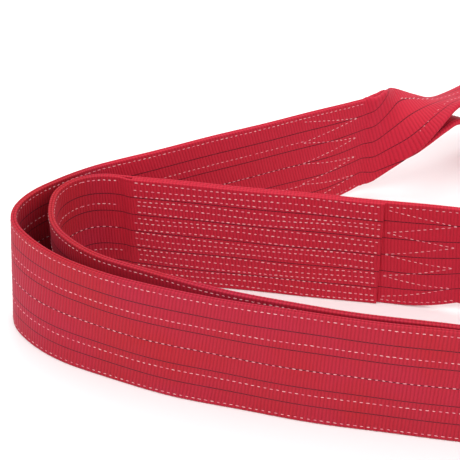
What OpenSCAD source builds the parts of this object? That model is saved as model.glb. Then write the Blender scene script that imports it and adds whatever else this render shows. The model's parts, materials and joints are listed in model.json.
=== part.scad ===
// Two-ply flat webbing sling with a folded eye at each end, laid folded in four on its edge.
// Millimetres. +X to the right along the legs, +Y to the back, +Z up, floor at Z = 0.
// The centreline is a list of stretches [length, turn in degrees], read from the left hinge on.

/* [Webbing] */
// Width of the webbing, which is the height of the sling standing on its edge
web_w = 150; // [140:1:160]
// Thickness of one ply
ply_t = 3.3; // [3:0.1:3.6]
// Gap between two plies
ply_gap = 0.1; // [0.05:0.05:0.5]
// Bare gap left on each side of a hinge line
hinge_gap = 0.2; // [0.1:0.05:1]
// Bevel of the ends that meet at a hinge line
hinge_bevel = 24; // [10:1:35]

/* [Legs] */
// Length of the back leg, from its bend to its eye
back_leg = 360; // [200:10:900]
// Length of the middle leg, from its bend to its eye
middle_leg = 430; // [300:5:1000]
// Straight run of the front leg before the right turn
front_run = 279; // [100:10:1200]
// Straight run of the return leg after the right turn
return_run = 269; // [100:10:1200]

/* [Splice] */
// Distance of the hidden web end from the left end of the middle leg
splice_start = 26; // [20:1:100]
// Distance of the visible web end from the left end of the middle leg
splice_end = 332; // [250:1:400]
// Rows of stitching through the splice
splice_rows = 18; // [8:1:24]

/* [Stitching] */
// Height of a stitched row
row_w = 1.4; // [0.8:0.1:3]
// How far a stitched row stands proud of the webbing
row_t = 0.4; // [0.2:0.05:1]
// Distance of the edge rows from the edge of the webbing
edge_row = 5; // [3:0.5:12]
// Length of the zigzag stitching at each eye
zigzag_len = 84; // [50:2:120]
// Number of zigzag teeth across the width
zigzag_n = 4; // [3:1:8]

/* [Eyes] */
// Length of an eye from the zigzag stitching to the far end
eye_len = 450; // [400:10:600]
// Width of the webbing once it is folded for the eye
fold_w = 77; // [70:1:80]
// Thickness of the folded webbing
fold_t = 7; // [6.6:0.1:7.6]

/* [Hidden] */
w2 = web_w / 2;
off = ply_gap / 2;
skin = off + ply_t;
rise = ply_t + ply_gap;

// where the back leg meets the left bend, before the whole is centred
hingeA0 = [-143, -65];
rootStretches = [[60, 10], [40, 8], [40, 25], [57, 53], [95, 27], [145, 15], [250, 6], [front_run, 0],
    [150, -25], [163, 230], [150, -25],
    [return_run, 0], [140, -5], [100, -6], [120, -6], [80, -24], [50, -33], [32, -12], [40, -44], [50, -50]];

// one chord of a stretch; a point is [x, y, heading, distance]
function chord(p, l, t) = [p[0] + l * cos(p[2] + t / 2), p[1] + l * sin(p[2] + t / 2), p[2] + t, p[3] + l];
function chords(p, l, t, n) = n <= 0 ? [] : let (q = chord(p, l, t)) concat([q], chords(q, l, t, n - 1));
function walk(p, list, i = 0) = i >= len(list) ? [] :
    let (n = max(1, ceil(abs(list[i][1]) / 5)), run = chords(p, list[i][0] / n, list[i][1] / n, n))
    concat(run, walk(run[n - 1], list, i + 1));
function route(p, list) = concat([p], walk(p, list));
function part(pts, a, b) = [for (i = [a : b]) pts[i]];
function stops(list, k) = k <= 0 ? 0 : stops(list, k - 1) + max(1, ceil(abs(list[k - 1][1]) / 5));

root0 = route([hingeA0[0], hingeA0[1], 206, 0], rootStretches);
rootEnd0 = root0[len(root0) - 1];
iBend = stops(rootStretches, 6);
iFront = stops(rootStretches, 8);
iTurn = stops(rootStretches, 11);
iReturn = stops(rootStretches, 15);
iLast = stops(rootStretches, 20);

// the whole is moved so that the middle of its outline is at the origin
eyeTipA0 = [hingeA0[0] + (back_leg + eye_len) * cos(26), hingeA0[1] + (back_leg + eye_len) * sin(26)];
midX = (min([for (p = root0) p[0]]) - skin - row_t + rootEnd0[0] + (middle_leg + eye_len) * cos(10)
    + fold_w / 2 * sin(10)) / 2;
midY = (min([for (p = root0) p[1]]) - skin - row_t + eyeTipA0[1] + fold_w / 2 * cos(26)) / 2;
root = [for (p = root0) [p[0] - midX, p[1] - midY, p[2], p[3]]];
hingeA = [root[0][0], root[0][1], 26, 0];
hingeB = [root[iLast][0], root[iLast][1], root[iLast][2], 0];
legA = route(hingeA, [[back_leg, 0]]);
legB = route(hingeB, [[middle_leg, 0]]);
baseA = legA[1];
baseB = legB[1];

red = [0.72, 0.10, 0.17];
deepRed = [0.62, 0.07, 0.13];
thread = [0.93, 0.74, 0.74];

// a point beside the route; side is positive to the left of the heading
function beside(p, side, along = 0) = [p[0] - side * sin(p[2]) + along * cos(p[2]),
    p[1] + side * cos(p[2]) + along * sin(p[2])];

// a band standing on its edge between two distances beside the route, with its ends cut back for a hinge
module band(pts, a, b, z0, z1, cutStart = 0, cutEnd = 0) {
    n = len(pts);
    function back0(side, cut) = cut == 0 ? 0 : hinge_gap + abs(side) * tan(hinge_bevel);
    function shift(i, side) = i == 0 ? back0(side, cutStart) : i == n - 1 ? -back0(side, cutEnd) : 0;
    left = [for (i = [0 : n - 1]) beside(pts[i], b, shift(i, b))];
    right = [for (i = [n - 1 : -1 : 0]) beside(pts[i], a, shift(i, a))];
    translate([0, 0, z0]) linear_extrude(height = z1 - z0) polygon(concat(left, right));
}

// a stitched row on both faces of the webbing
module row(pts, z, inner, outer, cutStart = 0, cutEnd = 0) {
    band(pts, outer, outer + row_t, z - row_w / 2, z + row_w / 2, cutStart, cutEnd);
    band(pts, -inner - row_t, -inner, z - row_w / 2, z + row_w / 2, cutStart, cutEnd);
}

rowsEdge = [edge_row, web_w - edge_row];
rowsQuarter = [web_w * 0.27, web_w * 0.73];

module edgeRows(pts, a = 0, b = 0) { color(thread) for (z = rowsEdge) row(pts, z, skin, skin, a, b); }
module quarterRows(pts, a = 0, b = 0) { color(thread) for (z = rowsQuarter) row(pts, z, skin, skin, a, b); }
module centreRow(pts, a = 0, b = 0) { color(thread) row(pts, w2, skin, skin, a, b); }

// a straight stitch from [u0, z0] to [u1, z1] in the plane of a leg, on the face at distance side
module stitch(base, u0, z0, u1, z1, side) {
    l = sqrt(pow(u1 - u0, 2) + pow(z1 - z0, 2));
    translate([base[0], base[1], 0]) rotate([0, 0, base[2]]) translate([u0, side, z0])
        rotate([0, -atan2(z1 - z0, u1 - u0), 0]) translate([0, 0, -row_w / 2]) cube([l, row_t, row_w]);
}

// zigzag teeth laid across the width, pointing along the leg
module zigzag(base, u0, side) {
    step = (web_w - 4 * edge_row) / zigzag_n;
    for (i = [0 : zigzag_n - 1]) {
        z = 2 * edge_row + i * step;
        stitch(base, u0, z + 1, u0 + zigzag_len, z + step / 2, side);
        stitch(base, u0, z + step - 1, u0 + zigzag_len, z + step / 2, side);
    }
}

// ---- eyes: a row is [u along the eye, v up, width, thickness, tilt of the width from upright]
eyeTop = [[0, w2, web_w - 2, ply_t, 0], [20, 84, 130, 3.5, 2], [40, 92, 112, 4.2, 14], [57, 98, 98, 5, 32],
    [75, 103, 92, 5.6, 56], [94, 106, 88, 6.2, 78], [114, 108, 83, 6.6, 96], [136, 109, fold_w, fold_t, 110]];
eyeLow = [[0, w2, web_w - 2, ply_t, 0], [20, 84, 130, 3.5, 2], [40, 91, 112, 4.2, 14], [57, 96, 98, 5, 32],
    [75, 99, 92, 5.6, 56], [94, 98.5, 88, 6.2, 78], [114, 96, 83, 6.6, 95], [136, 92, fold_w, fold_t, 107]];
// how steeply the two plies climb where they run into the loop
climbTop = 0.05;
climbLow = -0.3;
// the distance of each ply's inner face from the middle of the eye's rows
eye_gap = 0.2;
loop_start = 137.5;
// the loop as it lies in an eye 450 long, [u, v, tilt]; a longer eye stretches it
loop450 = [[loop_start, 109.1, 110], [165, 111, 110], [205, 115, 103], [250, 117, 94], [300, 117, 90],
    [345, 114, 90], [380, 107, 90], [410, 97, 90], [430, 84, 90], [441, 68, 90], [443, 52, 90], [439, 36, 90],
    [428, 22, 90], [408, 12.4, 90], [380, 8.8, 90], [345, 8.2, 90], [305, 10, 90], [270, 18, 90],
    [238, 34, 88], [205, 56, 82], [168, 79, 75], [loop_start, 91.3, 73]];
stretch = (eye_len - 7 - loop_start) / (443 - loop_start);
loopPath = [for (r = loop450) [loop_start + (r[0] - loop_start) * stretch, r[1], fold_w, fold_t, r[2]]];

// rows between the rows, on a smooth curve
function blend(a, b, c, d, t) = (2 * b + (c - a) * t + (2 * a - 5 * b + 4 * c - d) * t * t
    + (3 * b - a - 3 * c + d) * t * t * t) / 2;
function smooth(r, k) = let (n = len(r)) concat([for (i = [0 : n - 2]) for (j = [0 : k - 1])
    blend(r[max(0, i - 1)], r[i], r[i + 1], r[min(n - 1, i + 2)], j / k)], [r[n - 1]]);

function unit(v) = v / norm(v);
function ease(x) = let (t = min(1, max(0, x))) t * t * (3 - 2 * t);

// the ring of one row that runs along d: points across one face, then back across the other
function ring(row, d, near, far, m, wide) = let (c = cos(row[4]), s = sin(row[4]),
    up = [-d[1], 0, d[0]], across = [c * up[0], s, c * up[2]], face = [s * up[0], -c, s * up[2]],
    mid = [row[0], 0, row[1]], w = wide > 0 ? wide : row[2])
    concat([for (k = [0 : m]) mid + near * face + w * (k / m - 0.5) * across],
        [for (k = [m : -1 : 0]) mid + far * face + w * (k / m - 0.5) * across]);
module skinOver(rings, m, flip = false) {
    n = len(rings);
    q = 2 * m + 2;
    points = [for (r = rings) each r];
    sides = [for (i = [0 : n - 2]) for (k = [0 : q - 1]) let (a = q * i + k, b = q * i + (k + 1) % q)
        each (k <= m ? [[a, b, a + q], [b, b + q, a + q]] : [[a, b, b + q], [a, b + q, a + q]])];
    e = q * (n - 1);
    caps = [for (k = [0 : m - 1]) each [[k, q - 1 - k, q - 2 - k], [k, q - 2 - k, k + 1],
        [e + k, e + q - 2 - k, e + q - 1 - k], [e + k, e + k + 1, e + q - 2 - k]]];
    polyhedron(points = points, faces = [for (f = concat(sides, caps)) flip ? f : [f[2], f[1], f[0]]]);
}
module place(base) { translate([base[0], base[1], 0]) rotate([0, 0, base[2]]) children(); }

// a ply that turns and narrows; it starts just past the hinge line
module taper(base, table, lift, climb) {
    r = smooth(table, 4);
    place(base) skinOver([for (i = [0 : len(r) - 1])
        let (g = ring(r[i], unit([1, climb * ease((r[i][0] - 57) / 79)]),
            lift > 0 ? eye_gap : -eye_gap - r[i][3], lift > 0 ? eye_gap + r[i][3] : -eye_gap, 8, 0))
        i == 0 ? [for (p = g) p + [hinge_gap + abs(p[1]) * tan(hinge_bevel), 0, 0]] : g], 8, false);
}
function loopDir(r, i) = i == 0 ? unit([1, climbTop]) : i == len(r) - 1 ? unit([-1, -climbLow])
    : unit([r[i + 1][0] - r[i - 1][0], r[i + 1][1] - r[i - 1][1]]);
module eyeLoop(base) {
    r = smooth(loopPath, 3);
    place(base) skinOver([for (i = [0 : len(r) - 1])
        ring(r[i], loopDir(r, i), eye_gap, eye_gap + fold_t, 2, 0)], 2, false);
}
module foldSeam(base) {
    r = smooth(loopPath, 3);
    place(base) skinOver([for (i = [3 : len(r) - 4])
        ring(r[i], loopDir(r, i), fold_t + eye_gap + 0.05, fold_t + eye_gap + 0.05 + row_t, 1, row_w)], 1, false);
}

// ---- left bend, front leg, right turn, return leg and inner bend
module bend_inner_ply() { color(deepRed) band(part(root, 0, iBend), off, skin, 0, web_w, 1, 0); }
module bend_outer_ply() { color(red) band(part(root, 0, iBend), -skin, -off, 0, web_w, 1, 0); }
module front_inner_ply() { color(deepRed) band(part(root, iBend, iFront), off, skin, 0, web_w); }
module front_outer_ply() { color(red) band(part(root, iBend, iFront), -skin, -off, 0, web_w); }
module turn_inner_ply() { color(deepRed) band(part(root, iFront, iTurn), off, skin, 0, web_w); }
module turn_outer_ply() { color(red) band(part(root, iFront, iTurn), -skin, -off, 0, web_w); }
module return_inner_ply() { color(deepRed) band(part(root, iTurn, iReturn), off, skin, 0, web_w); }
module return_outer_ply() { color(red) band(part(root, iTurn, iReturn), -skin, -off, 0, web_w); }
module inner_bend_near_ply() { color(deepRed) band(part(root, iReturn, iLast), off, skin, 0, web_w, 0, 1); }
module inner_bend_far_ply() { color(red) band(part(root, iReturn, iLast), -skin, -off, 0, web_w, 0, 1); }
module body_edge_stitching() { edgeRows(root, 1, 1); }
module body_quarter_stitching() { quarterRows(root, 1, 1); }
module body_centre_stitching() { centreRow(root, 1, 1); }

// ---- back leg
module back_leg_inner_ply() { color(deepRed) band(legA, -skin, -off, 0, web_w, 1, 1); }
module back_leg_outer_ply() { color(red) band(legA, off, skin, 0, web_w, 1, 1); }
backRun = [legA[0], chord(legA[0], back_leg - zigzag_len - 12, 0)];
module back_leg_edge_stitching() { edgeRows(legA, 1, 1); }
module back_leg_quarter_stitching() { quarterRows(backRun, 1, 0); }
module back_leg_centre_stitching() { centreRow(backRun, 1, 0); }
module back_leg_zigzag() {
    color(thread) for (side = [skin, -skin - row_t]) zigzag(legA[0], back_leg - zigzag_len - 10, side);
}

// ---- middle leg with the splice, where one web end lies over the other
lapPts = [legB[0], chord(legB[0], splice_start - 16, 0), chord(legB[0], splice_start - 3, 0),
    chord(legB[0], splice_end, 0)];
module middle_leg_far_ply() { color(red) band(legB, off, skin, 0, web_w, 1, 1); }
module middle_leg_near_ply() {
    color(deepRed) band([chord(legB[0], splice_start, 0), legB[1]], -skin, -off, 0, web_w, 0, 1);
}
module middle_leg_lap_ply() {
    cut = hinge_gap;
    a = [beside(legB[0], -off, cut + off * tan(hinge_bevel)), beside(lapPts[1], -off),
        beside(lapPts[2], -off - rise), beside(lapPts[3], -off - rise)];
    b = [beside(lapPts[3], -skin - rise), beside(lapPts[2], -skin - rise), beside(lapPts[1], -skin),
        beside(legB[0], -skin, cut + skin * tan(hinge_bevel))];
    color(deepRed) linear_extrude(height = web_w) polygon(concat(a, b));
}
spliceRun = [chord(legB[0], splice_start + 4, 0), chord(legB[0], splice_end - 5, 0)];
middleRun = [chord(legB[0], splice_end + 2, 0), legB[1]];
module splice_stitching() {
    color(thread) for (i = [0 : splice_rows - 1])
        row(spliceRun, edge_row + i * (web_w - 2 * edge_row) / (splice_rows - 1), skin + rise, skin);
}
module middle_leg_edge_stitching() { edgeRows(middleRun, 0, 1); }
module middle_leg_zigzag() {
    color(thread) for (side = [skin, -skin - row_t]) zigzag(legB[0], middle_leg - zigzag_len - 10, side);
}

// ---- the two eyes
module back_eye_upper_ply() { color(deepRed) taper(baseA, eyeTop, 1, climbTop); }
module back_eye_lower_ply() { color(red) taper(baseA, eyeLow, -1, climbLow); }
module back_eye_loop() { color(red) eyeLoop(baseA); }
module back_eye_fold_stitching() { color(thread) foldSeam(baseA); }
module middle_eye_upper_ply() { color(deepRed) taper(baseB, eyeTop, 1, climbTop); }
module middle_eye_lower_ply() { color(red) taper(baseB, eyeLow, -1, climbLow); }
module middle_eye_loop() { color(red) eyeLoop(baseB); }
module middle_eye_fold_stitching() { color(thread) foldSeam(baseB); }

bend_inner_ply();
bend_outer_ply();
front_inner_ply();
front_outer_ply();
turn_inner_ply();
turn_outer_ply();
return_inner_ply();
return_outer_ply();
inner_bend_near_ply();
inner_bend_far_ply();
body_edge_stitching();
body_quarter_stitching();
body_centre_stitching();
back_leg_inner_ply();
back_leg_outer_ply();
back_leg_edge_stitching();
back_leg_quarter_stitching();
back_leg_centre_stitching();
back_leg_zigzag();
middle_leg_far_ply();
middle_leg_near_ply();
middle_leg_lap_ply();
splice_stitching();
middle_leg_edge_stitching();
middle_leg_zigzag();
back_eye_upper_ply();
back_eye_lower_ply();
back_eye_loop();
back_eye_fold_stitching();
middle_eye_upper_ply();
middle_eye_lower_ply();
middle_eye_loop();
middle_eye_fold_stitching();
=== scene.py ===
import bpy
import bmesh
import json
import math
import random
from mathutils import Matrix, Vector


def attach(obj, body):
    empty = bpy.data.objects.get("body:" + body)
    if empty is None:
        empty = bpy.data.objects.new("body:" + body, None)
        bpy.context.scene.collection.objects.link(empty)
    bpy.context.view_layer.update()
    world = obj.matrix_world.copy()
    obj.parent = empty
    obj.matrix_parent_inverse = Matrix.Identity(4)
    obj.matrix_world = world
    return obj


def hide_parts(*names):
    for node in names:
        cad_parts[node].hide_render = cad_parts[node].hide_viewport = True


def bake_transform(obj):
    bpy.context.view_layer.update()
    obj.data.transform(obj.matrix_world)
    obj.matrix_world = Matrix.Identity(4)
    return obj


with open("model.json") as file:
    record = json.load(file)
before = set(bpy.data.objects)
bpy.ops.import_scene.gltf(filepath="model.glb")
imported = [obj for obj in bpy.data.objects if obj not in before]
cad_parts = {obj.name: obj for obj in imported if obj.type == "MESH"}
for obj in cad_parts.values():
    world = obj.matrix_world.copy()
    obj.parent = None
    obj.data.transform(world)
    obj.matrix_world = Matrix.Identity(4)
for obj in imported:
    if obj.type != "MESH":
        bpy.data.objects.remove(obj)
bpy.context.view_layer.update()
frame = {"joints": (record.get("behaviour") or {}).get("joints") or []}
hinges = {j["name"]: Vector(j["pos_m"]) for j in frame["joints"]}
print("frame loaded")

view = {"place": (-0.2374, -1.2433, 0.934), "tilt": 55, "lens": 93.9, "sensor": 36, "sees": 50}
bpy.ops.object.camera_add(location=view["place"], rotation=(math.radians(view["tilt"]), 0, 0))
camera = bpy.context.object
camera.name = "camera"
camera.data.lens = view["lens"]
camera.data.sensor_width = view["sensor"]
camera.data.clip_end = view["sees"]
bpy.context.scene.camera = camera
bpy.context.scene.view_settings.view_transform = "Standard"
print("camera placed")

# one ply, in metres; the hem is the strip that curves where a side is folded in at an eye
webbing = {
    "width": 0.15, "ply": 0.0033, "gap": 0.0001, "step": 0.006,
    "hem": 0.0058, "bend": 178, "flatUnder": 0.01, "leastFlap": 0.0015,
    "selvedge": 0.0008, "selvedgeThickness": 0.45, "flatSteps": 13, "hemSteps": 6, "smoothUnder": 50,
}
# the route of the centreline, whose stretches start at the left hinge: length, turn in degrees
laid = {
    "backLeg": 0.36, "middleLeg": 0.43, "heading": 206, "step": 0.002,
    "stretches": [
        (0.06, 10), (0.04, 8), (0.04, 25), (0.057, 53), (0.095, 27), (0.145, 15), (0.25, 6), (0.279, 0),
        (0.15, -25), (0.163, 230), (0.15, -25), (0.269, 0), (0.14, -5), (0.1, -6), (0.12, -6), (0.08, -24),
        (0.05, -33), (0.032, -12), (0.04, -44), (0.05, -50),
    ],
    "cross": 0.04,          # how far a leg's plies run on past its hinge
    "backJoin": -0.19,      # where the back leg's plies meet those that run into the eye
    "middleJoin": 0.24,     # the same for the far ply of the middle leg, from its hinge
    "reach": 0.025,         # half the stretch on each side of a joint
}
waves = {"height": 0.0011, "long": 17, "short": 41, "endCalm": 0.05, "hingeCalm": 0.03}
flare = {"out": 0.013, "place": 0.17, "spread": 0.09}        # the lower edge leans out at the left bend
gather = {"share": 0.087, "length": 0.08, "eyeLength": 20}   # the webbing narrows on its way into an eye

halfWidth = webbing["width"] / 2
ply = webbing["ply"]
cross = laid["cross"]
rootLength = sum(s[0] for s in laid["stretches"])
endA, endB = -laid["backLeg"], rootLength + laid["middleLeg"]
backJoin, middleJoin = laid["backJoin"], rootLength + laid["middleJoin"]
lift = (webbing["gap"] + ply) / 2        # a ply's middle from the middle of the webbing
skin = lift + ply / 2                    # its outer face
rise = ply + webbing["gap"]              # one more ply


def walkCentreline():
    x, y = hinges["back_leg_swing"].x, hinges["back_leg_swing"].y
    turned = math.radians(laid["heading"])
    x -= laid["backLeg"] * math.cos(turned)
    y -= laid["backLeg"] * math.sin(turned)
    along = -laid["backLeg"]
    points = [(along, x, y, turned)]
    for length, turn in [(laid["backLeg"], 0)] + laid["stretches"] + [(laid["middleLeg"], 0)]:
        count = max(1, round(length / laid["step"]))
        for k in range(count):
            middle = turned + math.radians(turn) / count / 2
            x += length / count * math.cos(middle)
            y += length / count * math.sin(middle)
            turned += math.radians(turn) / count
            along += length / count
            points.append((along, x, y, turned))
    return points


centreline = walkCentreline()


def onCentreline(along):
    low, high = 0, len(centreline) - 1
    while high - low > 1:
        half = (low + high) // 2
        if centreline[half][0] <= along:
            low = half
        else:
            high = half
    a, b = centreline[low], centreline[high]
    f = (along - a[0]) / (b[0] - a[0])
    return [a[k] + (b[k] - a[k]) * f for k in range(4)]


def ease(x):
    x = min(1, max(0, x))
    return x * x * (3 - 2 * x)


# how far the face stands off its flat place, at a distance along and a height v up the webbing
def swayAt(along, v):
    toEnd = min(along + laid["backLeg"], rootLength + laid["middleLeg"] - along)
    calm = ease(toEnd / waves["endCalm"]) * ease(abs(along) / waves["hingeCalm"])
    calm *= ease(abs(along - rootLength) / waves["hingeCalm"])
    slow = math.sin(along * waves["long"] + 1) * (0.6 + 0.4 * math.sin(v * 30))
    quick = 0.5 * math.sin(along * waves["short"] + v * 26)
    lean = math.exp(-((along - flare["place"]) / flare["spread"]) ** 2)
    return waves["height"] * (slow + quick) * calm - flare["out"] * lean * (1 - v / webbing["width"])


# a station is one cross section of the webbing; sway says which way its waves go, 0 for none
def legStation(along):
    x, y, turned = onCentreline(along)[1:]
    forward = Vector((math.cos(turned), math.sin(turned), 0))
    toEnd = abs(min(along - endA, endB - along))
    drawn = gather["share"] * max(0, 1 - toEnd / gather["length"]) ** 2
    return {
        "centre": Vector((x, y, halfWidth * (1 + drawn))), "across": Vector((0, 0, 1 - drawn)),
        "face": Vector((-forward.y, forward.x, 0)), "forward": forward, "along": along,
        "flap": webbing["leastFlap"], "turn": 0.0, "sway": 1,
    }


def legRun(start, end):
    count = max(2, round(abs(end - start) / webbing["step"]))
    return [legStation(start + (end - start) * k / count) for k in range(count + 1)]


# rows are distance out, height, width as folded and tilt, in millimetres and degrees
eyeShape = {
    "rows": [
        (0, 81.5, 150, 0), (20, 84, 130, 2), (40, 92, 112, 14), (57, 98, 98, 32), (75, 103, 92, 56),
        (94, 106, 88, 78), (114, 108, 83, 96), (136, 109, 77, 110), (165, 111, 77, 110), (205, 115, 77, 103),
        (250, 117, 77, 94), (300, 117, 77, 90), (345, 114, 77, 90), (380, 107, 77, 90), (410, 97, 77, 90),
        (430, 84, 77, 90), (441, 68, 77, 90), (443, 52, 77, 90), (439, 36, 77, 90), (428, 22, 77, 90),
        (408, 12.4, 77, 90), (380, 8.8, 77, 90), (345, 8.2, 77, 90), (305, 10, 77, 90), (270, 18, 77, 90),
        (238, 34, 77, 92), (205, 56, 77, 98), (168, 79, 77, 105), (136, 92, 77, 107), (114, 96, 83, 95),
        (94, 98.5, 88, 78), (75, 99, 92, 56), (57, 96, 98, 32), (40, 91, 112, 14), (20, 84, 130, 2),
        (0, 81.5, 150, 0),
    ],
    "tip": 17,                 # the row at the far end of the eye; past it the webbing comes back
    "neck": 2.3,               # rows of an end that go into one piece with the leg, at the eye's base
    "step": 0.125, "slope": 0.02,
    "settle": (0.04, 0.06),    # where the webbing starts to follow the eye's own slope, and over how far
    "open": 0.00385, "openLength": 18, "foldLoss": 18,
    "foldStart": 4,            # the row where the sewn fold begins
}
lastRow = len(eyeShape["rows"]) - 1


def between(rows, place):
    k = min(len(rows) - 2, int(place))
    t = place - k
    a, b, c, d = (rows[min(len(rows) - 1, max(0, k + n))] for n in (-1, 0, 1, 2))
    return [
        (2 * q + (r - p) * t + (2 * p - 5 * q + 4 * r - s) * t * t + (3 * q - p - 3 * r + s) * t ** 3) / 2
        for p, q, r, s in zip(a, b, c, d)
    ]


def turnedTo(heading, p):
    c, s = math.cos(heading), math.sin(heading)
    return Vector((p.x * c - p.y * s, p.x * s + p.y * c, p.z))


def eyeStation(end, place):
    rows, heading = eyeShape["rows"], end["heading"]
    out, height, width, tilt = between(rows, place)
    ahead = between(rows, min(lastRow, place + eyeShape["slope"]))
    behind = between(rows, max(0, place - eyeShape["slope"]))
    back = place > eyeShape["tip"]
    start, length = eyeShape["settle"]
    free = ease((out / 1000 - start) / length)
    run = Vector((ahead[0] - behind[0], 0, ahead[1] - behind[1])).normalized()
    run = (run * free + Vector((-1 if back else 1, 0, 0)) * (1 - free)).normalized()
    up = Vector((-run.z, 0, run.x))
    s = math.sin(math.radians(tilt))
    c = math.cos(math.radians(tilt)) * (-1 if back else 1)    # coming back the webbing faces down
    across = turnedTo(heading, c * up + Vector((0, s, 0)))
    face = turnedTo(heading, s * up - Vector((0, c, 0)))
    centre = turnedTo(heading, Vector((out / 1000, 0, height / 1000)))
    centre = centre + Vector((end["base"].x, end["base"].y, 0))
    centre = centre + face * eyeShape["open"] * ease(out / eyeShape["openLength"])
    bend = math.radians(webbing["bend"])
    flap = halfWidth - webbing["hem"] - width / 2000 + webbing["hem"] / bend
    return {
        "centre": centre, "across": across * (1 - gather["share"] * max(0, 1 - out / gather["eyeLength"])),
        "face": face, "forward": turnedTo(heading, run), "along": 0.0, "sway": 0,
        "flap": max(webbing["leastFlap"], flap),
        "turn": bend * ease((rows[0][2] - width) / eyeShape["foldLoss"]),
    }


def eyeRun(end, first, last):
    places = []
    place = first
    while place < last - 1e-6:
        places.append(place)
        place += eyeShape["step"]
    stations = [eyeStation(end, p) for p in places + [last]]
    along = 0.0
    for before, station in zip(stations, stations[1:]):
        along += (station["centre"] - before["centre"]).length
        station["along"] = along
    return stations


# a point of the folded ply, off its middle line and off its face, with its normal
def plyPoint(v, flap, turn):
    q = v - halfWidth
    side = 1 if q >= 0 else -1
    a = abs(q)
    flat = halfWidth - webbing["hem"] - flap
    if turn < webbing["flatUnder"] or a <= flat:
        return q, 0.0, 0.0, 1.0
    radius = webbing["hem"] / turn
    angle = min(turn, turn * (a - flat) / webbing["hem"])
    rest = max(0, a - flat - webbing["hem"])
    y = flat + radius * math.sin(angle) + rest * math.cos(angle)
    n = radius * (1 - math.cos(angle)) + rest * math.sin(angle)
    return side * y, -n, side * math.sin(angle), math.cos(angle)


def acrossPlaces(flap):
    hem, selvedge = webbing["hem"], webbing["selvedge"]
    flatSteps, hemSteps = webbing["flatSteps"], webbing["hemSteps"]
    flat = halfWidth - hem - flap
    half = [flat * k / flatSteps for k in range(flatSteps)]
    half += [flat + hem * k / hemSteps for k in range(hemSteps)]
    half += [halfWidth - flap + (flap - selvedge) * k / hemSteps for k in range(hemSteps)]
    half += [halfWidth - selvedge, halfWidth]
    return [halfWidth - a for a in reversed(half[1:])] + [halfWidth + a for a in half]


# middle is a ply's distance from the middle of the webbing, off the distance from the ply's own middle
def facePoint(station, v, middle, off=0):
    y, n, ny, nn = plyPoint(v, station["flap"], station["turn"])
    sway = swayAt(station["along"], v) * station["sway"]
    across, face = station["across"], station["face"]
    place = station["centre"] + across * (y + ny * off) + face * (middle + n + nn * off + sway)
    return place, across * ny + face * nn


# how far the ribs lean, in degrees, which follows how the webbing has been handled
ribLean = {"leftBend": 9, "frontLoss": 7, "middleLeg": -4, "backLeg": 14}


def skewAt(along):
    lost = ribLean["frontLoss"] * ease((along - 0.42) / 0.2)
    front = ease((along - 0.1) / 0.15) * (ribLean["leftBend"] - lost) * (1 - ease((along - 1.0) / 0.3))
    middle = ribLean["middleLeg"] * ease((along - rootLength + 0.05) / 0.1) * (1 - ease((along - endB) / 0.1))
    back = ribLean["backLeg"] * (1 - ease((along + 0.02) / 0.12)) * ease((along - endA + 0.1) / 0.1)
    return math.tan(math.radians(front + middle + back))


def tidyNormals(obj):
    work = bmesh.new()
    work.from_mesh(obj.data)
    bmesh.ops.recalc_face_normals(work, faces=work.faces)
    work.to_mesh(obj.data)
    work.free()
    bpy.ops.object.select_all(action="DESELECT")
    obj.select_set(True)
    bpy.context.view_layer.objects.active = obj
    bpy.ops.object.shade_smooth_by_angle(angle=math.radians(webbing["smoothUnder"]))


def newPiece(name, mesh, finish):
    obj = bpy.data.objects.new(name, mesh)
    bpy.context.scene.collection.objects.link(obj)
    tidyNormals(obj)
    obj.data.materials.append(finish)
    return obj


class Field:
    def __init__(self, finish, socket):
        self.finish, self.socket = finish, socket

    def do(self, operation, *others):
        return self.finish.add("ShaderNodeMath", {"operation": operation}, [self] + list(others))

    def __add__(self, other):
        return self.do("ADD", other)

    def __sub__(self, other):
        return self.do("SUBTRACT", other)

    def __mul__(self, other):
        return self.do("MULTIPLY", other)

    def __truediv__(self, other):
        return self.do("DIVIDE", other)

    def __rsub__(self, other):
        return (self * -1) + other

    __radd__ = __add__
    __rmul__ = __mul__


class Finish:
    def __init__(self, name):
        self.material = bpy.data.materials.new(name)
        self.material.use_nodes = True
        self.tree = self.material.node_tree
        self.shader = self.tree.nodes["Principled BSDF"]

    def join(self, socket, value):
        if isinstance(value, Field):
            self.tree.links.new(value.socket, socket)
        else:
            socket.default_value = value

    def add(self, kind, settings=None, values=(), output=0):
        node = self.tree.nodes.new(kind)
        for key, value in (settings or {}).items():
            setattr(node, key, value)
        for key, value in (values.items() if isinstance(values, dict) else enumerate(values)):
            self.join(node.inputs[key], value)
        return Field(self, node.outputs[output])

    def mix(self, factor, a, b):
        return self.add("ShaderNodeMix", {"data_type": "RGBA"}, {0: factor, 6: a, 7: b}, 2)

    def noise(self, scale, detail=2.0):
        place = self.add("ShaderNodeTexCoord", output=3)    # Object coordinates
        return self.add("ShaderNodeTexNoise", None, {"Vector": place, "Scale": scale, "Detail": detail})

    def feed(self, name, value):
        self.join(self.shader.inputs[name], value)


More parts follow.
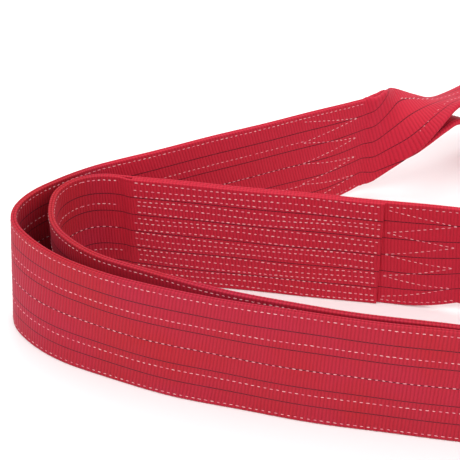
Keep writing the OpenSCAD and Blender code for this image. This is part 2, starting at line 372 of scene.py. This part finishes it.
seams = {
    "pitch": 0.0069, "length": 0.0042, "thread": 0.0011, "height": 0.0009,
    "rows": [0.0052, 0.0405, 0.075, 0.1095, 0.1448], "wander": 0.0003, "endClear": 0.002,
    "zigzag": 0.084, "zigzagEnd": 0.01, "zigzagMargin": 0.01, "teeth": 4, "foldRow": 0.009,
    "spliceStart": 0.026, "spliceEnd": 0.332, "spliceRows": 18, "spliceThread": 1.35, "spliceWander": 0.0013,
    "spliceUneven": 0.003, "spliceStartClear": 0.002, "spliceEndClear": 0.004,
    "rowClear": 0.018, "pastLap": 0.008,    # where plain rows stop before the lap and start again past it
}
webbingLook = {
    "ribPitch": 0.0041, "warpPitch": 0.0021, "tracer": 0.0013, "tracerColour": (0.030, 0.001, 0.008, 1),
    # painted shade: the groove colours darken the hollows between the ribs; the top colours are lighter,
    # partly painted highlight and partly wear
    "groovesShaded": ((0.300, 0.006, 0.014, 1), (0.300, 0.007, 0.024, 1)),
    # the legs colour on the next line is painted light, which brightens the two legs with the eyes
    "topsLitAndWorn": ((0.420, 0.009, 0.018, 1), (0.430, 0.012, 0.042, 1)), "legs": (0.530, 0.013, 0.036, 1),
    "pinch": 0.0032, "bump": 0.75, "bumpHeight": 0.0007,
    "roughness": 0.62, "gloss": 0.22, "sheen": 0.08, "sheenRoughness": 0.45, "sheenTint": (1.0, 0.35, 0.5, 1),
}
threadLook = {
    "light": (0.74, 0.44, 0.44, 1), "dark": (0.66, 0.13, 0.20, 1),
    "bump": 0.4, "bumpHeight": 0.0003, "roughness": 0.5,
}


def weaveWebbing():
    look, f = webbingLook, Finish("bodyWebbing")
    along = f.add("ShaderNodeSeparateXYZ", None, [f.add("ShaderNodeUVMap", {"uv_map": "weave"})])
    across = Field(f, along.socket.node.outputs[1])
    wobble = f.noise(160.0) * 0.0012
    rib = ((along + wobble) * (2 * math.pi / look["ribPitch"])).do("SINE") * 0.5 + 0.5
    ribTop = rib.do("POWER", 0.55)
    warp = across * (2 * math.pi / look["warpPitch"]) + along * (math.pi / look["ribPitch"])
    warp = warp.do("SINE") * 0.5 + 0.5
    # five tracer lines at sixths of the width
    sixth = webbing["width"] / 6
    near = ((across / sixth + 0.5).do("FRACT") - 0.5).do("ABSOLUTE") * sixth
    inside = (across - halfWidth).do("ABSOLUTE").do("LESS_THAN", sixth * 2.5)
    tracer = (1 - (near / (look["tracer"] * 0.62)).do("POWER", 4.0)).do("MAXIMUM", 0.0) * inside
    tracer = tracer * (ribTop * 0.45 + 0.55)
    patch = (f.noise(9.0, 3.0) - 0.5) * 2.4 + 0.5
    patch = patch.do("MAXIMUM", 0.0).do("MINIMUM", 1.0)
    fibre = f.noise(900.0, 1.0)
    # painted shade in the grooves between the ribs, and a lighter colour on the rib tops that is partly
    # painted highlight and partly wear
    grooveShaded = f.mix(patch, *look["groovesShaded"])
    topLitAndWorn = f.mix(patch, *look["topsLitAndWorn"])
    colour = f.mix(ribTop * 0.9 + fibre * 0.2 - 0.05, grooveShaded, topLitAndWorn)
    # painted light, strongest on the rib tops: the two legs with the eyes are coloured a little brighter than
    # the length between them
    legsLight = ((along - rootLength / 2).do("ABSOLUTE") - rootLength / 2 + 0.03) / 0.06
    legsLight = legsLight.do("MAXIMUM", 0.0).do("MINIMUM", 1.0)
    colour = f.mix(legsLight * (ribTop * 0.35 + 0.4), colour, look["legs"])
    f.feed("Base Color", f.mix(tracer, colour, look["tracerColour"]))
    height = ribTop * 0.7 + warp * ribTop * 0.22 + fibre * 0.12
    for v in seams["rows"]:    # a row of stitching pulls the weave in
        height = height + ((across - v).do("ABSOLUTE") / look["pinch"]).do("MINIMUM", 1.0) * 0.5
    relief = {"Strength": look["bump"], "Distance": look["bumpHeight"], "Height": height}
    f.feed("Normal", f.add("ShaderNodeBump", None, relief))
    f.feed("Roughness", look["roughness"] + fibre * 0.2)
    f.feed("Specular IOR Level", look["gloss"])
    f.feed("Sheen Weight", look["sheen"])
    f.feed("Sheen Roughness", look["sheenRoughness"])
    f.feed("Sheen Tint", look["sheenTint"])
    return f.material


def spinThread():
    look, f = threadLook, Finish("paleThread")
    tone = f.add("ShaderNodeAttribute", {"attribute_name": "tone"}, output=2)
    twist = f.noise(1400.0, 1.0)
    f.feed("Base Color", f.mix(tone * 0.8 + twist * 0.3 - 0.05, look["dark"], look["light"]))
    relief = {"Strength": look["bump"], "Distance": look["bumpHeight"], "Height": twist}
    f.feed("Normal", f.add("ShaderNodeBump", None, relief))
    f.feed("Roughness", look["roughness"])
    return f.material


webbingFinish = weaveWebbing()
threadFinish = spinThread()
print("finishes made")


# middle may be a number or, for a ply that climbs over another, a function of the distance along
def weavePly(name, stations, middle):
    points, marks, faces = [], [], []
    for station in stations:
        along = station["along"]
        height = middle(along) if callable(middle) else middle
        places = acrossPlaces(station["flap"])
        for side in (1, -1):
            for v in places[::side]:
                atEdge = min(v, webbing["width"] - v) < webbing["selvedge"] / 2
                thick = ply / 2 * (webbing["selvedgeThickness"] if atEdge else 1)
                points.append(facePoint(station, v, height, side * thick)[0])
                marks.append((along - skewAt(along) * v, v))
    size = len(points) // len(stations)
    for k in range(len(stations) - 1):
        for n in range(size):
            a, b = k * size + n, k * size + (n + 1) % size
            faces.append((a, b, b + size, a + size))
    last = (len(stations) - 1) * size
    for n in range(size // 2 - 1):
        faces.append((n, n + 1, size - 2 - n, size - 1 - n))
        faces.append((last + n + 1, last + n, last + size - 1 - n, last + size - 2 - n))
    mesh = bpy.data.meshes.new(name)
    mesh.from_pydata(points, [], faces)
    layer = mesh.uv_layers.new(name="weave")
    for loop in mesh.loops:
        layer.data[loop.index].uv = marks[loop.vertex_index]
    return newPiece(name, mesh, webbingFinish)


def cut(obj, stations):
    length = sum((b["centre"] - a["centre"]).length for a, b in zip(stations, stations[1:]))
    print("webbing", obj.name, round(length, 3))


def bendAt(obj, place, way):
    tuple(place - way * laid["reach"])
    tuple(place + way * laid["reach"])
    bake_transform(obj)


# the two ends of the web, where the legs run into their eyes
backEnd = {
    "base": hinges["back_eye_swing"], "heading": math.radians(laid["heading"] - 180),
    "reached": endA, "step": -1, "leg": "back_leg", "eye": "back_eye",
}
middleEnd = {
    "base": hinges["middle_eye_swing"], "heading": onCentreline(rootLength + 0.1)[3],
    "reached": endB, "step": 1, "leg": "middle_leg", "eye": "middle_eye",
}
for end in (backEnd, middleEnd):
    end["way"] = Vector((math.cos(end["heading"]), math.sin(end["heading"]), 0))


def bendLeg(obj, end):
    bendAt(obj, hinges[end["leg"] + "_swing"], end["way"])


def bendEye(obj, end):
    bendAt(obj, end["base"], end["way"])


# the length between the legs: both left bends, the front and the right turn
run = legRun(cross, rootLength - cross)
for name, side, nodes in (
    ("frontWebbingInner", 1, [
        "bend_inner_ply", "front_inner_ply", "turn_inner_ply", "return_inner_ply", "inner_bend_near_ply"]),
    ("frontWebbingOuter", -1, [
        "bend_outer_ply", "front_outer_ply", "turn_outer_ply", "return_outer_ply", "inner_bend_far_ply"]),
):
    piece = weavePly(name, run, side * lift)
    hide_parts(*nodes)
    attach(piece, "sling_body")
    cut(piece, run)

# back leg, over the left hinge
run = legRun(backJoin, cross)
for name, side, node in (
    ("backLegInner", 1, "back_leg_inner_ply"),
    ("backLegOuter", -1, "back_leg_outer_ply"),
):
    piece = weavePly(name, run, side * lift)
    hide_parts(node)
    cut(piece, run)
    bendLeg(piece, backEnd)

# middle leg, over its hinge: the lap climbs onto the other end of the web, and the far ply is straight
lap = {"start": seams["spliceStart"], "climbFrom": 0.016, "climb": 0.013}


def lapHeight(along):
    return -lift - rise * ease((along - rootLength - lap["start"] + lap["climbFrom"]) / lap["climb"])


for name, node, stop, middle in (
    ("middleLegLap", "middle_leg_lap_ply", rootLength + seams["spliceEnd"], lapHeight),
    ("middleLegFar", "middle_leg_far_ply", middleJoin, lift),
):
    run = legRun(rootLength - cross, stop)
    piece = weavePly(name, run, middle)
    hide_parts(node)
    cut(piece, run)
    bendLeg(piece, middleEnd)


# the last of a leg's ply and the first rows of the eye in one piece; the low one comes back from the eye
def neckPly(name, end, legFrom, side, low, nodes):
    eye = eyeRun(end, lastRow - eyeShape["neck"], lastRow)[::-1] if low else eyeRun(end, 0, eyeShape["neck"])
    stations = legRun(legFrom, end["reached"])[:-1]
    for station in stations:
        station["face"] = station["face"] * side
        station["sway"] = side
    first = eye[0]["along"]
    for station in eye:
        station["along"] = end["reached"] + end["step"] * abs(station["along"] - first)
    stations += eye
    piece = weavePly(name, stations, lift)
    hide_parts(*nodes)
    cut(piece, stations)
    bendEye(piece, end)
    return stations[-1]["along"]


def wholeEye(name, end, start, node):
    stations = eyeRun(end, eyeShape["neck"], lastRow - eyeShape["neck"])
    for station in stations:
        station["along"] = start + end["step"] * station["along"]
    piece = weavePly(name, stations, lift)
    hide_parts(node)
    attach(piece, end["eye"])
    cut(piece, stations)


lapStart = rootLength + lap["start"]
backStart = neckPly("backNeckUpper", backEnd, backJoin, 1, False, ["back_eye_upper_ply"])
neckPly("backNeckLower", backEnd, backJoin, -1, True, ["back_eye_lower_ply"])
middleNodes = ["middle_leg_near_ply", "middle_eye_upper_ply"]
middleStart = neckPly("middleNeckUpper", middleEnd, lapStart, -1, False, middleNodes)
neckPly("middleNeckLower", middleEnd, middleJoin, 1, True, ["middle_eye_lower_ply"])
wholeEye("backEye", backEnd, backStart, "back_eye_loop")
wholeEye("middleEye", middleEnd, middleStart, "middle_eye_loop")
print("webbing made")


def modelStitch():
    bpy.ops.object.select_all(action="DESELECT")
    bpy.ops.mesh.primitive_uv_sphere_add(segments=6, ring_count=5, radius=0.5)
    stitch = bpy.context.object
    bpy.ops.object.mode_set(mode="EDIT")
    bpy.ops.mesh.select_all(action="SELECT")
    bpy.ops.transform.rotate(value=math.radians(90), orient_axis="Y", center_override=(0, 0, 0))
    bpy.ops.transform.resize(value=(seams["length"], seams["thread"], seams["height"]))
    bpy.ops.object.mode_set(mode="OBJECT")
    shape = ([v.co.copy() for v in stitch.data.vertices], [tuple(p.vertices) for p in stitch.data.polygons])
    bpy.data.objects.remove(stitch)
    return shape


stitchPoints, stitchFaces = modelStitch()
dice = random.Random(11)


def uneven(amount):
    return (dice.random() - 0.5) * amount


# a stitch is its place, direction, normal and length
def sew(name, stitches, thick=1.0):
    points, faces, tones = [], [], []
    for place, direction, normal, size in stitches:
        side = normal.cross(direction).normalized()
        first = len(points)
        tone = dice.random()
        for p in stitchPoints:
            points.append(place + direction * (p.x * size) + side * (p.y * thick) + normal * (p.z * thick))
            tones.append(tone)
        faces += [tuple(first + i for i in f) for f in stitchFaces]
    mesh = bpy.data.meshes.new(name)
    mesh.from_pydata(points, [], faces)
    mesh.attributes.new("tone", "FLOAT", "POINT").data.foreach_set("value", tones)
    print("sewn", name, len(stitches))
    return newPiece(name, mesh, threadFinish)


# a lengthwise row at height v, on each side of the webbing that sides names with its face's distance
def rowOfStitches(start, end, v, sides, wander=seams["wander"], phase=0.0):
    made = []
    pitch = seams["pitch"] * (0.93 + 0.14 * dice.random())
    count = int(abs(end - start) / pitch)
    early = uneven(0.9)
    for k in range(count):
        along = start + (k + 0.5 + early) * (end - start) / count
        station = legStation(along)
        for side, height in sides:
            place = v + wander * math.sin(along * 23 + v * 400 + phase) + uneven(0.0004)
            point = facePoint(station, place, side * height)[0]
            direction = (station["forward"] + station["across"] * uneven(0.2)).normalized()
            made.append((point, direction, station["face"] * side, 0.75 + 0.35 * dice.random()))
    return made


# a slanting row, from and to a distance along and a height
def lineOfStitches(a, b, sides):
    made = []
    far, high = b[0] - a[0], b[1] - a[1]
    count = int(math.hypot(far, high) / seams["pitch"])
    for k in range(count):
        f = (k + 0.5) / count
        station = legStation(a[0] + far * f)
        direction = (station["forward"] * far + station["across"] * high).normalized()
        for side, height in sides:
            point = facePoint(station, a[1] + high * f, side * height)[0]
            made.append((point, direction, station["face"] * side, 0.9 + 0.2 * dice.random()))
    return made


def zigzag(start, end):
    made = []
    margin = seams["zigzagMargin"]
    tooth = (webbing["width"] - 2 * margin) / seams["teeth"]
    for k in range(seams["teeth"]):
        low = margin + k * tooth
        made += lineOfStitches((start, low), (end, low + tooth / 2), both)
        made += lineOfStitches((start, low + tooth), (end, low + tooth / 2), both)
    return made


both = [(1, skin), (-1, skin)]
edgeRows = (0, len(seams["rows"]) - 1)
for name, side, nodes in (
    ("bodyStitchingInner", 1, ["body_edge_stitching"]),
    ("bodyStitchingOuter", -1, ["body_quarter_stitching", "body_centre_stitching"]),
):
    made = []
    for v in seams["rows"]:
        made += rowOfStitches(cross, rootLength - cross, v, [(side, skin)])
    piece = sew(name, made)
    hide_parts(*nodes)
    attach(piece, "sling_body")

made = []
for v in seams["rows"]:
    made += rowOfStitches(cross, backJoin, v, both)
piece = sew("backLegStitching", made)
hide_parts("back_leg_edge_stitching", "back_leg_quarter_stitching", "back_leg_centre_stitching")
bendLeg(piece, backEnd)

zigA = endA + seams["zigzagEnd"] + seams["zigzag"]
made = zigzag(zigA, endA + seams["zigzagEnd"])
for k, v in enumerate(seams["rows"]):
    made += rowOfStitches(backJoin, endA + seams["endClear"] if k in edgeRows else zigA, v, both)
piece = sew("backNeckStitching", made)
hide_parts("back_leg_zigzag")
bendEye(piece, backEnd)

made = []
spliceFrom = lapStart + seams["spliceStartClear"]
spliceTo = rootLength + seams["spliceEnd"] - seams["spliceEndClear"]
for v in seams["rows"]:
    made += rowOfStitches(rootLength - cross, lapStart - seams["rowClear"], v, both)
margin = seams["rows"][0]
sewnWidth = webbing["width"] - 2 * margin
onLap = [(1, skin), (-1, skin + rise)]
for k in range(seams["spliceRows"]):
    v = margin + k * sewnWidth / (seams["spliceRows"] - 1) + uneven(seams["spliceUneven"])
    made += rowOfStitches(spliceFrom, spliceTo, v, onLap, seams["spliceWander"], k * 1.7)
piece = sew("spliceStitching", made, seams["spliceThread"])
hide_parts("splice_stitching")
bendLeg(piece, middleEnd)

made = zigzag(endB - seams["zigzagEnd"] - seams["zigzag"], endB - seams["zigzagEnd"])
for k in edgeRows:
    made += rowOfStitches(spliceTo + seams["pastLap"], endB - seams["endClear"], seams["rows"][k], both)
piece = sew("middleNeckStitching", made)
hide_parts("middle_leg_edge_stitching", "middle_leg_zigzag")
bendEye(piece, middleEnd)


# each stitch through the fold shows on the flap and, at the same distance from the middle, on the web
def foldStitching(name, end, node):
    made = []
    stations = eyeRun(end, eyeShape["foldStart"], lastRow - eyeShape["foldStart"])
    length = stations[-1]["along"]
    count = int(length / seams["pitch"])
    n = 0
    for k in range(count):
        along = (k + 0.5) * length / count
        while stations[n + 1]["along"] < along:
            n += 1
        station = stations[n]
        shift = station["forward"] * (along - station["along"])
        for v in (seams["foldRow"], webbing["width"] - seams["foldRow"]):
            beside = plyPoint(v, station["flap"], station["turn"])[0]
            for place in (v, halfWidth + beside):
                point, normal = facePoint(station, place, lift, ply / 2)
                made.append((point + shift, station["forward"], normal, 1.0))
    piece = sew(name, made)
    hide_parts(node)
    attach(piece, end["eye"])


foldStitching("backEyeStitching", backEnd, "back_eye_fold_stitching")
foldStitching("middleEyeStitching", middleEnd, "middle_eye_fold_stitching")
print("stitching made")

# lamps are place, size and power
studio = {
    "floor": 14.0, "drop": 0.0005, "shade": (0.93, 0.93, 0.93, 1), "matt": 0.9, "sky": 0.92,
    "aim": (0, 0, 0.05),
    "lamps": [((-1.2, -1.6, 2.6), 2.4, 37), ((1.4, -1.3, 2.3), 2.2, 26), ((0.2, 1.6, 2.6), 2.4, 34)],
}
bpy.ops.object.select_all(action="DESELECT")
bpy.ops.mesh.primitive_plane_add(size=studio["floor"], location=(0, 0, -studio["drop"]))
floor = bpy.context.object
floor.name = "floor"
paper = Finish("paleFloor")
paper.feed("Base Color", studio["shade"])
paper.feed("Roughness", studio["matt"])
floor.data.materials.append(paper.material)
for place, size, power in studio["lamps"]:
    bpy.ops.object.light_add(type="AREA", location=place)
    lamp = bpy.context.object
    lamp.data.size = size
    lamp.data.energy = power
    lamp.rotation_euler = (Vector(studio["aim"]) - Vector(place)).to_track_quat("-Z", "Y").to_euler()
world = bpy.context.scene.world or bpy.data.worlds.new("studio")
bpy.context.scene.world = world
world.use_nodes = True
background = world.node_tree.nodes["Background"]
background.inputs[0].default_value = (1, 1, 1, 1)
background.inputs[1].default_value = studio["sky"]
print("studio set")
